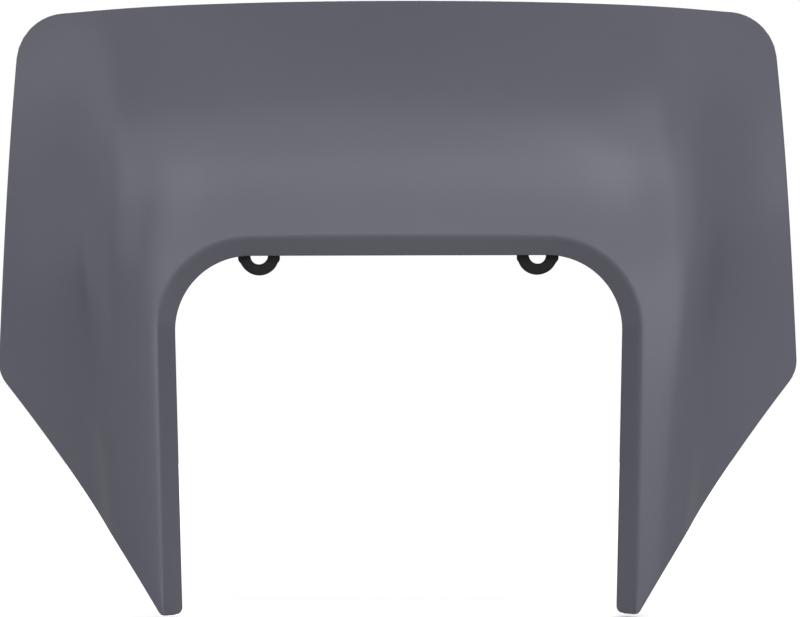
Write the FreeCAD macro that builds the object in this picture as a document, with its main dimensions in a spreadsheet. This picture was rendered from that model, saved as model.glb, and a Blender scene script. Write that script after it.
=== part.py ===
import FreeCAD, Part
import math
import os

import Sketcher
from FreeCAD import Placement, Rotation, Vector

# Headlight mask of a motorbike, in millimetres.
# X is to the right, -Y is the front, +Z is up. The origin lies midway between the two eyes that
# carry the mask, on the rear face of their grommets.

doc = FreeCAD.newDocument("HeadlightMask")

# Driving sizes

SIZES = [
    # lugs and grommets
    ("eye_spacing", 100.0, "between the two grommet bores"),
    ("bore_radius", 3.2, "clearance for an M6 screw"),
    ("neck_radius", 4.8, "grommet neck inside the lug's eye"),
    ("flange_radius", 7.1, "round grommet flanges"),
    ("flange_thickness", 3.0, "each grommet flange"),
    ("shoulder_half_width", 7.5, "square shoulders of the front flange"),
    ("shoulder_drop", 2.9, "how far the shoulders reach below the bore axis"),
    ("lug_thickness", 4.0, "moulded lug between the flanges"),
    ("lug_half_width", 6.5, "lug, also its round end"),
    ("lug_height", 25.0, "top of the lug above the bore axis"),
    ("rib_thickness", 2.4, "two ribs that tie the lug to the brow"),
    ("rib_clearance", 1.0, "ribs start this far above the grommet's flange"),
    ("grommet_clearance", 0.1, "rubber to lug, all round"),
    ("rubber_bevel", 0.5, "outer edge of the grommet's front"),
    # skin
    ("wall", 2.8, "moulded wall"),
    ("brow_reach", 31.5, "brow's front ahead of the origin"),
    ("brow_lean", 2.0, "degrees, skin at the eyes' height"),
    ("crown_lean", 42.0, "degrees, skin at the top edge"),
    ("brow_crown", 1.6, "how far the brow falls back at its shoulders"),
    ("hood_depth", 32.0, "valley behind the hood's face"),
    ("shoulder_low", 86.5, "half-width of the hood's face beside the lamp"),
    ("shoulder_high", 52.0, "half-width of the hood's face at the top edge"),
    ("valley_mid", 119.0, "half-width at the valley, at the eyes' height"),
    ("valley_splay", 6.8, "degrees, valley lines open upwards"),
    ("wing_sweep_low", 32.0, "degrees, wing swept back at its lower corner"),
    ("wing_sweep_high", 31.0, "degrees, wing swept back at the top edge"),
    # outline seen from the front
    ("top_height", 93.1, "top edge at the middle, above the eyes"),
    ("top_radius", 2700.0, "bow of the top edge"),
    ("top_half_width", 139.2, "top corner before rounding"),
    ("top_corner_radius", 17.5, "top corner"),
    ("wing_half_width", 145.7, "lower wing corner before rounding"),
    ("wing_drop", 42.3, "lower wing corner below the eyes"),
    ("wing_corner_radius", 12.0, "lower wing corner"),
    ("leg_radius", 760.0, "hollow curve of the slanted lower edge"),
    ("leg_drop", 128.2, "leg's end below the eyes"),
    ("leg_half_width", 84.8, "outer corner of the leg's end"),
    ("leg_tip_radius", 2.0, "corners of the leg's end"),
    # lamp opening
    ("lamp_half_width", 79.4, "between the lips, at the lower wing corner"),
    ("lamp_splay", 1.35, "degrees, legs close in downwards"),
    ("lamp_top", -0.4, "lip's lower edge against the eyes"),
    ("lamp_corner_radius", 26.5, "upper corners at the lip's edge"),
    ("lip_depth", 15.5, "lip from the brow's front to its rear edge"),
    ("lip_slope", 27.0, "degrees, lip turned in from straight back"),
    ("lip_wall", 2.4, "lip"),
    ("rim_bevel", 1.2, "edge between skin and lip"),
]

sheet = doc.addObject("Spreadsheet::Sheet", "Sizes")
for row, (alias, value, meaning) in enumerate(SIZES, 1):
    sheet.set(f"A{row}", meaning)
    sheet.set(f"B{row}", str(value))
    sheet.setAlias(f"B{row}", alias)
doc.recompute()


def size(alias):
    return float(sheet.get(alias))


# Working allowances: how far a cutting shape runs past what it cuts, and the skin past the outline

PAST = 40.0
VOID_BEHIND = 1.0
SKIN_MARGIN = 22.0

# Shape of brow and flank between middle, shoulder and valley: (share of the width, share of the depth)

BROW_MIDDLE = (0.5, 0.2)
UPPER_FLANK = (0.49, 0.18)
LOWER_FLANK = (0.84, 0.44)
CROWN_FLANK = (0.72, 0.60)


# Sketch helpers

def bind(sketch, kind, *args):
    """Add one dimension whose last argument is an expression over the sheet."""
    *where, value, expression = args
    index = sketch.addConstraint(Sketcher.Constraint(kind, *where, value))
    sketch.setExpression(f"Constraints[{index}]", expression)


def fix_point(sketch, geometry, point, x, x_expression, z, z_expression):
    bind(sketch, "DistanceX", -1, 1, geometry, point, x, x_expression)
    bind(sketch, "DistanceY", -1, 1, geometry, point, z, z_expression)


def join(sketch, first, first_point, second, second_point):
    sketch.addConstraint(Sketcher.Constraint("Coincident", first, first_point, second, second_point))


def front_sketch(name, y, y_expression):
    """A free sketch on a plane that faces the front, its own x and y along X and Z."""
    sketch = doc.addObject("Sketcher::SketchObject", name)
    sketch.Placement = Placement(Vector(0, y, 0), Rotation(Vector(1, 0, 0), 90))
    sketch.setExpression("Placement.Base.y", y_expression)
    return sketch


def line(sketch, start, end):
    return sketch.addGeometry(Part.LineSegment(Vector(*start, 0), Vector(*end, 0)), False)


# Skin: one smooth surface over brow, flanks, valleys and wings

def face_depth(z):
    """Depth of the hood's middle line: upright beside the lamp, leaning back ever more above it."""
    low = math.tan(math.radians(size("brow_lean")))
    high = math.tan(math.radians(size("crown_lean")))
    rise = max(z, 0.0)
    return -size("brow_reach") + low * rise + (high - low) * rise ** 2 / (2 * size("top_height"))


def between(low, high, share):
    return low + (high - low) * min(max(share, 0.0), 1.0)


def skin_row(z):
    """Control points of the skin at one height, from the left wing to the right one."""
    share = z / size("top_height")
    shoulder = between(size("shoulder_low"), size("shoulder_high"), share)
    valley = size("valley_mid") + z * math.tan(math.radians(size("valley_splay")))
    sweep_share = (z + size("wing_drop")) / (size("top_height") + size("wing_drop"))
    sweep = math.tan(math.radians(between(size("wing_sweep_low"), size("wing_sweep_high"), sweep_share)))
    edge = size("wing_half_width") + SKIN_MARGIN
    flank = valley - shoulder
    crown = size("brow_crown")
    depth = size("hood_depth")
    # beside the lamp the flank ends steeply at the valley, towards the top edge it runs out smoothly
    foot = [between(low, high, share) for low, high in zip(LOWER_FLANK, CROWN_FLANK)]
    half = [
        (0.0, 0.0),
        (BROW_MIDDLE[0] * shoulder, BROW_MIDDLE[1] * crown),
        (shoulder, crown),
        (shoulder + UPPER_FLANK[0] * flank, crown + UPPER_FLANK[1] * depth),
        (shoulder + foot[0] * flank, crown + foot[1] * depth),
        (valley, crown + depth),
        (0.5 * (valley + edge), crown + depth + 0.5 * sweep * (edge - valley)),
        (edge, crown + depth + sweep * (edge - valley)),
    ]
    mirrored = [(-x, back) for x, back in reversed(half[1:])]
    return [Vector(x, face_depth(z) + back, z) for x, back in mirrored + half]


def clamped_knots(poles, degree):
    spans = poles - degree
    multiplicities = [degree + 1] + [1] * (spans - 1) + [degree + 1]
    return multiplicities, list(range(spans + 1))


def skin_surface(rows=7, degree=3):
    low = -size("leg_drop") - SKIN_MARGIN
    high = size("top_height") + SKIN_MARGIN
    net = [skin_row(low + (high - low) * i / (rows - 1)) for i in range(rows)]
    u_mults, u_knots = clamped_knots(rows, degree)
    v_mults, v_knots = clamped_knots(len(net[0]), degree)
    surface = Part.BSplineSurface()
    surface.buildFromPolesMultsKnots(net, u_mults, v_mults, u_knots, v_knots, False, False, degree, degree)
    return surface.toShape()


skin = doc.addObject("Part::Feature", "Skin")
skin.Shape = skin_surface()

# The wall: the skin thickened backwards
slab = doc.addObject("Part::Offset", "Slab")
slab.Source = skin
slab.Fill = True
slab.Value = size("wall")
slab.setExpression("Value", "Sizes.wall")

# Everything behind the middle of the wall, to end ribs and lip inside the wall
behind = doc.addObject("Part::Extrusion", "BehindSkin")
behind.Base = skin
behind.DirMode = "Custom"
behind.Dir = Vector(0, 1, 0)
behind.LengthFwd = 4 * PAST
behind.Placement = Placement(Vector(0, size("wall") / 2, 0), Rotation())
behind.setExpression("Placement.Base.y", "Sizes.wall / 2")


# Outline: what the mask shows from the front

def top_corner_height():
    radius = size("top_radius")
    return size("top_height") - radius + math.sqrt(radius ** 2 - size("top_half_width") ** 2)


def outline_sketch():
    top_z = size("top_height")
    radius = size("top_radius")
    top_x = size("top_half_width")
    corner_z = top_corner_height()
    wing = (size("wing_half_width"), -size("wing_drop"))
    foot = (size("leg_half_width"), -size("leg_drop"))
    sketch = front_sketch("OutlineSketch", 0.0, "0 mm")
    swing = math.asin(top_x / radius)
    circle = Part.Circle(Vector(0, top_z - radius, 0), Vector(0, 0, 1), radius)
    top = sketch.addGeometry(Part.ArcOfCircle(circle, math.pi / 2 - swing, math.pi / 2 + swing), False)
    bind(sketch, "Radius", top, radius, "Sizes.top_radius")
    fix_point(sketch, top, 3, 0.0, "0 mm", top_z - radius, "Sizes.top_height - Sizes.top_radius")
    bind(sketch, "DistanceX", -1, 1, top, 1, top_x, "Sizes.top_half_width")
    bind(sketch, "DistanceX", top, 2, -1, 1, top_x, "Sizes.top_half_width")
    bottom = line(sketch, (foot[0], foot[1]), (-foot[0], foot[1]))
    fix_point(sketch, bottom, 1, foot[0], "Sizes.leg_half_width", foot[1], "-Sizes.leg_drop")
    fix_point(sketch, bottom, 2, -foot[0], "-Sizes.leg_half_width", foot[1], "-Sizes.leg_drop")
    for side, top_end, bottom_end in ((1, 1, 1), (-1, 2, 2)):
        corner = (side * top_x, corner_z)
        knee = (side * wing[0], wing[1])
        ankle = (side * foot[0], foot[1])
        edge = line(sketch, corner, knee)
        join(sketch, edge, 1, top, top_end)
        sign = "" if side > 0 else "-"
        fix_point(sketch, edge, 2, knee[0], f"{sign}Sizes.wing_half_width", knee[1], "-Sizes.wing_drop")
        hollow = sketch.addGeometry(hollow_arc(knee, ankle, size("leg_radius"), side), False)
        start, end = (1, 2) if side > 0 else (2, 1)
        join(sketch, hollow, start, edge, 2)
        join(sketch, hollow, end, bottom, bottom_end)
        bind(sketch, "Radius", hollow, size("leg_radius"), "Sizes.leg_radius")
    return sketch


def hollow_arc(knee, ankle, radius, side):
    """Arc from knee to ankle that bows towards the lamp, its centre outside the mask."""
    a = Vector(*knee, 0)
    b = Vector(*ankle, 0)
    middle = (a + b) / 2
    half = (a - b).Length / 2
    outward = Vector(side * (a.y - b.y), -side * (a.x - b.x), 0).normalize()
    sagitta = radius - math.sqrt(radius ** 2 - half ** 2)
    return Part.Arc(a, middle - outward * sagitta, b)


outline = doc.addObject("Part::Extrusion", "Outline")
outline.Base = outline_sketch()
outline.DirMode = "Custom"
outline.Dir = Vector(0, 1, 0)
outline.LengthFwd = 4 * PAST
outline.LengthRev = 4 * PAST
outline.Solid = True
doc.recompute()


def depth_edges(shape, x, z, reach=0.5):
    """Numbers of the edges that run along Y through a place in the front view."""
    found = []
    for number, edge in enumerate(shape.Edges, 1):
        ends = [vertex.Point for vertex in edge.Vertexes]
        if len(ends) == 2 and all(abs(abs(p.x) - x) < reach and abs(p.z - z) < reach for p in ends):
            found.append(number)
    return found


corners = [
    (size("top_half_width"), top_corner_height(), size("top_corner_radius")),
    (size("wing_half_width"), -size("wing_drop"), size("wing_corner_radius")),
    (size("leg_half_width"), -size("leg_drop"), size("leg_tip_radius")),
]
trim = doc.addObject("Part::Fillet", "RoundedOutline")
trim.Base = outline
trim.Edges = [(n, r, r) for x, z, r in corners for n in depth_edges(outline.Shape, x, z)]


# Lamp opening: a funnel that narrows from the rim to the lip's rear edge, open at the bottom

LIP_REAR = "(Sizes.lip_depth - Sizes.brow_reach)"


def opening_sketch(name, ahead, grow_alias):
    """Outline of the opening at a distance ahead of the lip's rear edge, grown by a wall or not."""
    slope = math.tan(math.radians(size("lip_slope")))
    splay = math.tan(math.radians(size("lamp_splay")))
    grow = ahead * slope + (size(grow_alias) if grow_alias else 0.0)
    grow_text = f"({ahead} mm * tan(Sizes.lip_slope * 1 deg)"
    grow_text += f" + Sizes.{grow_alias} * 1 mm)" if grow_alias else ")"
    y = size("lip_depth") - size("brow_reach") - ahead
    sketch = front_sketch(name, y, f"({LIP_REAR} - {ahead}) * 1 mm")
    top = size("lamp_top") + grow
    low = -size("leg_drop") - PAST
    foot = size("lamp_half_width") + grow + (low + size("wing_drop")) * splay
    head = size("lamp_half_width") + grow + (top + size("wing_drop")) * splay
    radius = size("lamp_corner_radius") + grow
    bottom = line(sketch, (-foot, low), (foot, low))
    ceiling = line(sketch, (head - radius, top), (radius - head, top))
    low_text = f"-(Sizes.leg_drop + {PAST}) * 1 mm"
    foot_text = f"Sizes.lamp_half_width * 1 mm + {grow_text}"
    foot_text += f" + (Sizes.wing_drop - Sizes.leg_drop - {PAST}) * 1 mm * tan(Sizes.lamp_splay * 1 deg)"
    fix_point(sketch, bottom, 1, -foot, f"-({foot_text})", low, low_text)
    fix_point(sketch, bottom, 2, foot, foot_text, low, low_text)
    bind(sketch, "DistanceY", -1, 1, ceiling, 1, top, f"Sizes.lamp_top * 1 mm + {grow_text}")
    sketch.addConstraint(Sketcher.Constraint("Horizontal", ceiling))
    radius_text = f"Sizes.lamp_corner_radius * 1 mm + {grow_text}"
    angle = math.radians(90 - size("lamp_splay"))
    for side, bottom_end, ceiling_end in ((1, 2, 1), (-1, 1, 2)):
        reach = radius / math.tan(angle / 2)
        leg_end = Vector(side * (head - reach * math.cos(angle)), top - reach * math.sin(angle), 0)
        leg = line(sketch, (side * foot, low), (leg_end.x, leg_end.y))
        join(sketch, leg, 1, bottom, bottom_end)
        turn = angle if side > 0 else math.pi - angle
        turn_text = "(90 - Sizes.lamp_splay) * 1 deg" if side > 0 else "(90 + Sizes.lamp_splay) * 1 deg"
        bind(sketch, "Angle", leg, turn, turn_text)
        ceiling_point = Vector(side * (head - reach), top, 0)
        corner = Vector(side * head, top, 0)
        centre = Vector(ceiling_point.x, top - radius, 0)
        inward = (corner - centre).normalize()
        arc = sketch.addGeometry(Part.Arc(ceiling_point, centre + inward * radius, leg_end), False)
        first, last = (2, 1) if side > 0 else (1, 2)
        sketch.addConstraint(Sketcher.Constraint("Tangent", arc, first, ceiling, ceiling_end))
        sketch.addConstraint(Sketcher.Constraint("Tangent", arc, last, leg, 2))
        bind(sketch, "Radius", arc, radius, radius_text)
    return sketch


def funnel(name, rear_ahead, front_ahead, grow_alias):
    loft = doc.addObject("Part::Loft", name)
    loft.Sections = [
        opening_sketch(f"{name}Rear", rear_ahead, grow_alias),
        opening_sketch(f"{name}Front", front_ahead, grow_alias),
    ]
    loft.Solid = True
    loft.Ruled = True
    return loft


lamp_void = funnel("LampVoid", -VOID_BEHIND, PAST, "")
lip_block = funnel("LipBlock", 0.0, PAST, "lip_wall")

lip_ring = doc.addObject("Part::Cut", "LipRing")
lip_ring.Base = lip_block
lip_ring.Tool = lamp_void

lip = doc.addObject("Part::Common", "Lip")
lip.Base = lip_ring
lip.Tool = behind

open_slab = doc.addObject("Part::Cut", "OpenSlab")
open_slab.Base = slab
open_slab.Tool = lamp_void


# Lugs: a plate with an eye on each side, tied to the brow by two ribs

def lug_sketch():
    """The left lug's plate from the front: round under the eye, straight above."""
    x = -size("eye_spacing") / 2
    half = size("lug_half_width")
    top = size("lug_height")
    sketch = front_sketch("LugSketch", -size("flange_thickness"), "-Sizes.flange_thickness * 1 mm")
    circle = Part.Circle(Vector(x, 0, 0), Vector(0, 0, 1), half)
    end = sketch.addGeometry(Part.ArcOfCircle(circle, math.pi, 2 * math.pi), False)
    right = line(sketch, (x + half, 0), (x + half, top))
    roof = line(sketch, (x + half, top), (x - half, top))
    left = line(sketch, (x - half, top), (x - half, 0))
    bind(sketch, "Radius", end, half, "Sizes.lug_half_width")
    fix_point(sketch, end, 3, x, "-Sizes.eye_spacing / 2", 0.0, "0 mm")
    sketch.addConstraint(Sketcher.Constraint("Tangent", end, 2, right, 1))
    sketch.addConstraint(Sketcher.Constraint("Tangent", end, 1, left, 2))
    join(sketch, right, 2, roof, 1)
    join(sketch, roof, 2, left, 1)
    sketch.addConstraint(Sketcher.Constraint("Vertical", right))
    sketch.addConstraint(Sketcher.Constraint("Horizontal", roof))
    bind(sketch, "DistanceY", -1, 1, roof, 1, top, "Sizes.lug_height")
    return sketch


plate = doc.addObject("Part::Extrusion", "LugPlate")
plate.Base = lug_sketch()
plate.DirMode = "Custom"
plate.Dir = Vector(0, -1, 0)
plate.LengthFwd = size("lug_thickness")
plate.setExpression("LengthFwd", "Sizes.lug_thickness")
plate.Solid = True

eye = doc.addObject("Part::Cylinder", "LugEye")
eye.Height = 2 * PAST
eye.setExpression("Radius", "Sizes.neck_radius + Sizes.grommet_clearance")
eye.Placement = Placement(Vector(0, PAST, 0), Rotation(Vector(1, 0, 0), 90))
eye.setExpression("Placement.Base.x", "-Sizes.eye_spacing / 2")

eyed_plate = doc.addObject("Part::Cut", "EyedPlate")
eyed_plate.Base = plate
eyed_plate.Tool = eye


def rib(name, inner):
    """One rib from the plate forward into the brow's wall, above the grommet's flange."""
    box = doc.addObject("Part::Box", name)
    box.setExpression("Length", "Sizes.rib_thickness")
    box.setExpression("Width", "Sizes.brow_reach")
    box.setExpression("Height", "Sizes.lug_height - Sizes.flange_radius - Sizes.rib_clearance")
    side = "Sizes.lug_half_width - Sizes.rib_thickness" if inner else "-Sizes.lug_half_width"
    box.setExpression("Placement.Base.x", f"-Sizes.eye_spacing / 2 + {side}")
    plate_middle = "Sizes.flange_thickness + Sizes.lug_thickness / 2"
    box.setExpression("Placement.Base.y", f"-Sizes.brow_reach - ({plate_middle})")
    box.setExpression("Placement.Base.z", "Sizes.flange_radius + Sizes.rib_clearance")
    return box


ribs = doc.addObject("Part::MultiFuse", "LugRibs")
ribs.Shapes = [rib("OuterRib", False), rib("InnerRib", True)]

ended_ribs = doc.addObject("Part::Common", "EndedRibs")
ended_ribs.Base = ribs
ended_ribs.Tool = behind

left_lug = doc.addObject("Part::MultiFuse", "LeftLug")
left_lug.Shapes = [eyed_plate, ended_ribs]

right_lug = doc.addObject("Part::Mirroring", "RightLug")
right_lug.Source = left_lug
right_lug.Normal = Vector(1, 0, 0)

# The moulding: wall, lip and lugs as one solid, its rim bevelled, then trimmed to the outline

moulding = doc.addObject("Part::MultiFuse", "Moulding")
moulding.Shapes = [open_slab, lip, left_lug, right_lug]
doc.recompute()


def lies_on(edge, surface, reach=0.001):
    first, last = edge.ParameterRange
    places = [edge.valueAt(first + (last - first) * share) for share in (0.1, 0.5, 0.9)]
    return all(surface.distToShape(Part.Vertex(place))[0] < reach for place in places)


def rim_edges(shape):
    """Numbers of the edges where the skin turns into the lip."""
    walls = Part.makeShell(lamp_void.Shape.Faces)
    numbered = enumerate(shape.Edges, 1)
    return [number for number, edge in numbered if lies_on(edge, skin.Shape) and lies_on(edge, walls)]


bevelled_rim = doc.addObject("Part::Chamfer", "BevelledRim")
bevelled_rim.Base = moulding
bevelled_rim.Edges = [(n, size("rim_bevel"), size("rim_bevel")) for n in rim_edges(moulding.Shape)]

mask_shell = doc.addObject("Part::Common", "MaskShell")
mask_shell.Base = bevelled_rim
mask_shell.Tool = trim
mask_shell.Label = "mask_shell"


# Grommets: a round rubber bush with two flanges, square-shouldered in front

def origin_plane(body, role):
    return next(item for item in body.Origin.OriginFeatures if item.Role == role)


def body_sketch(body, name, role, offset_expression="0 mm"):
    sketch = body.newObject("Sketcher::SketchObject", name)
    sketch.AttachmentSupport = [(origin_plane(body, role), "")]
    sketch.MapMode = "FlatFace"
    sketch.setExpression("AttachmentOffset.Base.z", offset_expression)
    return sketch


def closed_profile(sketch, corners):
    """Straight-sided profile; each corner is (x, x expression, y, y expression)."""
    count = len(corners)
    for i, here in enumerate(corners):
        after = corners[(i + 1) % count]
        line(sketch, (here[0], here[2]), (after[0], after[2]))
    for i, (x, x_text, y, y_text) in enumerate(corners):
        join(sketch, (i - 1) % count, 2, i, 1)
        fix_point(sketch, i, 1, x, x_text, y, y_text)


def grommet(label, side):
    body = doc.addObject("PartDesign::Body", label)
    body.Label = label
    body.setExpression("Placement.Base.x", f"{side} * Sizes.eye_spacing / 2")
    flange = size("flange_thickness")
    slack = size("grommet_clearance")
    rear = slack - flange
    front = -flange - size("lug_thickness") - slack
    end = -2 * flange - size("lug_thickness")
    rear_text = "Sizes.grommet_clearance - Sizes.flange_thickness"
    front_text = "-Sizes.flange_thickness - Sizes.lug_thickness - Sizes.grommet_clearance"
    end_text = "-2 * Sizes.flange_thickness - Sizes.lug_thickness"
    disc = (size("flange_radius"), "Sizes.flange_radius")
    neck = (size("neck_radius"), "Sizes.neck_radius")
    axis = (0.0, "0 mm")
    profile = body_sketch(body, label + "_profile", "XY_Plane")
    closed_profile(profile, [
        (*axis, 0.0, "0 mm"),
        (*disc, 0.0, "0 mm"),
        (*disc, rear, rear_text),
        (*neck, rear, rear_text),
        (*neck, front, front_text),
        (*disc, front, front_text),
        (*disc, end, end_text),
        (*axis, end, end_text),
    ])
    bush = body.newObject("PartDesign::Revolution", label + "_bush")
    bush.Profile = profile
    bush.ReferenceAxis = (profile, ["V_Axis"])
    bush.Angle = 360.0

    square = body_sketch(body, label + "_square", "XZ_Plane", f"-({front_text})")
    half = size("shoulder_half_width")
    high = (size("flange_radius"), "Sizes.flange_radius")
    low = (-size("shoulder_drop"), "-Sizes.shoulder_drop")
    closed_profile(square, [
        (-half, "-Sizes.shoulder_half_width", *low),
        (half, "Sizes.shoulder_half_width", *low),
        (half, "Sizes.shoulder_half_width", *high),
        (-half, "-Sizes.shoulder_half_width", *high),
    ])
    shoulders = body.newObject("PartDesign::Pad", label + "_shoulders")
    shoulders.Profile = square
    shoulders.setExpression("Length", f"{front_text} - ({end_text})")

    hole = body_sketch(body, label + "_hole", "XZ_Plane")
    circle = hole.addGeometry(Part.Circle(Vector(), Vector(0, 0, 1), size("bore_radius")), False)
    join(hole, circle, 3, -1, 1)
    bind(hole, "Radius", circle, size("bore_radius"), "Sizes.bore_radius")
    bore = body.newObject("PartDesign::Pocket", label + "_bore")
    bore.Profile = hole
    bore.Type = "ThroughAll"
    bore.Midplane = True
    doc.recompute()

    face = min(bore.Shape.Faces, key=lambda item: item.CenterOfMass.y)
    rim = face.OuterWire.Edges
    front_edges = [n for n, edge in enumerate(bore.Shape.Edges, 1) if any(edge.isSame(e) for e in rim)]
    bevel = body.newObject("PartDesign::Chamfer", label + "_bevel")
    bevel.Base = (bore, [f"Edge{number}" for number in front_edges])
    bevel.setExpression("Size", "Sizes.rubber_bevel")
    body.Tip = bevel
    return body


nodes = [mask_shell, grommet("left_rubber_grommet", -1), grommet("right_rubber_grommet", 1)]
doc.recompute()

# Checks and files

MEASURE_STEP = 0.1

for item in doc.Objects:
    if {"Invalid", "Error"} & set(item.State):
        raise RuntimeError(f"{item.Label} failed: {item.State}")
for node in nodes:
    shape = node.Shape
    if shape.isNull() or not shape.isValid() or len(shape.Solids) != 1:
        raise RuntimeError(f"{node.Label} is not one valid solid")

os.makedirs("parts", exist_ok=True)
for node in nodes:
    node.Shape.exportStep(f"parts/{node.Label}.step")
    points = node.Shape.tessellate(MEASURE_STEP)[0]
    spans = [max(along) - min(along) for along in zip(*points)]
    print(node.Label, f"{node.Shape.Volume / 1000:.2f} cm3,", end=" ")
    print(" x ".join(f"{span:.1f}" for span in spans), "mm")
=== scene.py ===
# %% [markdown]
# A headlight mask for a motorbike: one grey moulding that frames the lamp from above and from both
# sides, with two black rubber grommets behind its brow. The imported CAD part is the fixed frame.
# Every piece made here stands where its CAD node stands, in metres.

# %% Load the frame
import math

import bmesh
import bpy
import numpy as np
from mathutils import Matrix, Vector
from mathutils.bvhtree import BVHTree


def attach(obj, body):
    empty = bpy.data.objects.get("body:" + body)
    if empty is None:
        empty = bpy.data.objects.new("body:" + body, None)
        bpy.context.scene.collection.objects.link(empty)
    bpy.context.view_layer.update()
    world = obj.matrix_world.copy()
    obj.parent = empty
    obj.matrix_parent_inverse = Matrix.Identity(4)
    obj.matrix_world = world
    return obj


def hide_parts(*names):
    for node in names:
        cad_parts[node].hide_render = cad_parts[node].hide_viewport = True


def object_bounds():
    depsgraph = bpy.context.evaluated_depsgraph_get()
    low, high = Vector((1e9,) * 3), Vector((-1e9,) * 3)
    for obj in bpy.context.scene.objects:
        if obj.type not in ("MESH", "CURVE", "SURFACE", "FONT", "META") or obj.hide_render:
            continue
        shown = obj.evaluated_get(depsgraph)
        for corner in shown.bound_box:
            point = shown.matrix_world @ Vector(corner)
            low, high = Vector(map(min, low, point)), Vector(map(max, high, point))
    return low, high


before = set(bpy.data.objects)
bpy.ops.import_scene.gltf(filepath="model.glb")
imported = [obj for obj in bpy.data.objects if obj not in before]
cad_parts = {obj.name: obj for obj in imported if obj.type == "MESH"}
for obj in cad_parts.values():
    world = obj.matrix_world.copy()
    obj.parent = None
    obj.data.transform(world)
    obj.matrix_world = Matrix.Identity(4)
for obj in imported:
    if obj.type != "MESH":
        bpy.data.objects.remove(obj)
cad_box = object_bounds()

MM = 0.001
print("CAD nodes:", ", ".join(sorted(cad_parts)))
print("CAD box in mm:", [round(c / MM, 1) for c in (*cad_box[0], *cad_box[1])])

# %% [markdown]
# The moulding's outer face is one smooth surface: an upright hood in the middle that leans back
# towards its top edge, a flank on each side, a valley, and a wing swept back. A designer draws such
# a face with a net of control points. The same net is used here as in the CAD, worked out with
# B-spline weights, so that the picture and the solid agree. A mesh pushed about by hand would not.

# %% The face as a rule
TOP_HEIGHT, LEG_DROP, WING_DROP = 93.1, 128.2, 42.3
WING_HALF_WIDTH = 145.7
BROW_REACH, BROW_LEAN, CROWN_LEAN, BROW_CROWN = 31.5, 2.0, 42.0, 1.6
HOOD_DEPTH, SHOULDER_LOW, SHOULDER_HIGH = 32.0, 86.5, 52.0
VALLEY_MID, VALLEY_SPLAY = 119.0, 6.8
WING_SWEEP_LOW, WING_SWEEP_HIGH = 32.0, 31.0
BROW_MIDDLE, UPPER_FLANK = (0.5, 0.2), (0.49, 0.18)
LOWER_FLANK, CROWN_FLANK = (0.84, 0.44), (0.72, 0.60)
NET_ROWS, NET_MARGIN = 7, 22.0


def slope(degrees):
    return math.tan(math.radians(degrees))


def net_row(z):
    """Control points of the face at one height, from the left wing to the right one."""
    share = min(max(z / TOP_HEIGHT, 0.0), 1.0)
    sweep_share = min(max((z + WING_DROP) / (TOP_HEIGHT + WING_DROP), 0.0), 1.0)
    shoulder = SHOULDER_LOW + (SHOULDER_HIGH - SHOULDER_LOW) * share
    sweep = slope(WING_SWEEP_LOW + (WING_SWEEP_HIGH - WING_SWEEP_LOW) * sweep_share)
    valley = VALLEY_MID + z * slope(VALLEY_SPLAY)
    edge = WING_HALF_WIDTH + NET_MARGIN
    flank = valley - shoulder
    rise = max(z, 0.0)
    curl = (slope(CROWN_LEAN) - slope(BROW_LEAN)) / (2 * TOP_HEIGHT)
    middle = -BROW_REACH + slope(BROW_LEAN) * rise + curl * rise ** 2
    foot = [low + (high - low) * share for low, high in zip(LOWER_FLANK, CROWN_FLANK)]
    half = [
        (0.0, 0.0),
        (BROW_MIDDLE[0] * shoulder, BROW_MIDDLE[1] * BROW_CROWN),
        (shoulder, BROW_CROWN),
        (shoulder + UPPER_FLANK[0] * flank, BROW_CROWN + UPPER_FLANK[1] * HOOD_DEPTH),
        (shoulder + foot[0] * flank, BROW_CROWN + foot[1] * HOOD_DEPTH),
        (valley, BROW_CROWN + HOOD_DEPTH),
        (0.5 * (valley + edge), BROW_CROWN + HOOD_DEPTH + 0.5 * sweep * (edge - valley)),
        (edge, BROW_CROWN + HOOD_DEPTH + sweep * (edge - valley)),
    ]
    row = [(-x, back) for x, back in reversed(half[1:])] + half
    return [(x, middle + back, z) for x, back in row]


def spline_weights(count, places, degree=3):
    """Weights of a clamped B-spline's control points at places from 0 to 1."""
    spans = count - degree
    knots = np.concatenate([np.zeros(degree), np.arange(spans + 1), np.full(degree, spans)])
    u = np.clip(places * spans, 0, spans - 1e-9)[:, None]
    weights = ((u >= knots[:-1]) & (u < knots[1:])).astype(float)
    for d in range(1, degree + 1):
        left = np.maximum(knots[d:-1] - knots[:-d - 1], 1e-12)
        right = np.maximum(knots[d + 1:] - knots[1:-d], 1e-12)
        rising = weights[:, :-1] * (u - knots[:-d - 1]) / left
        weights = rising + weights[:, 1:] * (knots[d + 1:] - u) / right
    return weights


print("net:", NET_ROWS, "rows of", len(net_row(0.0)), "control points")

# %% The face as a form to drape things on
heights = np.linspace(-LEG_DROP - NET_MARGIN, TOP_HEIGHT + NET_MARGIN, NET_ROWS)
net = np.array([net_row(z) for z in heights])
FORM_UP, FORM_ACROSS = 260, 520
up_weights = spline_weights(NET_ROWS, np.linspace(0, 1, FORM_UP))
across_weights = spline_weights(net.shape[1], np.linspace(0, 1, FORM_ACROSS))
form_points = np.einsum("iu,uvk,jv->ijk", up_weights, net, across_weights) * MM


def grid_faces(rows, columns):
    corner = (np.arange(rows - 1)[:, None] * columns + np.arange(columns - 1)).ravel()
    return np.stack([corner, corner + 1, corner + columns + 1, corner + columns], 1)


def plain_mesh(name, points, faces):
    mesh = bpy.data.meshes.new(name)
    mesh.from_pydata(np.reshape(points, (-1, 3)).tolist(), [], np.asarray(faces).tolist())
    mesh.update()
    return mesh


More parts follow.
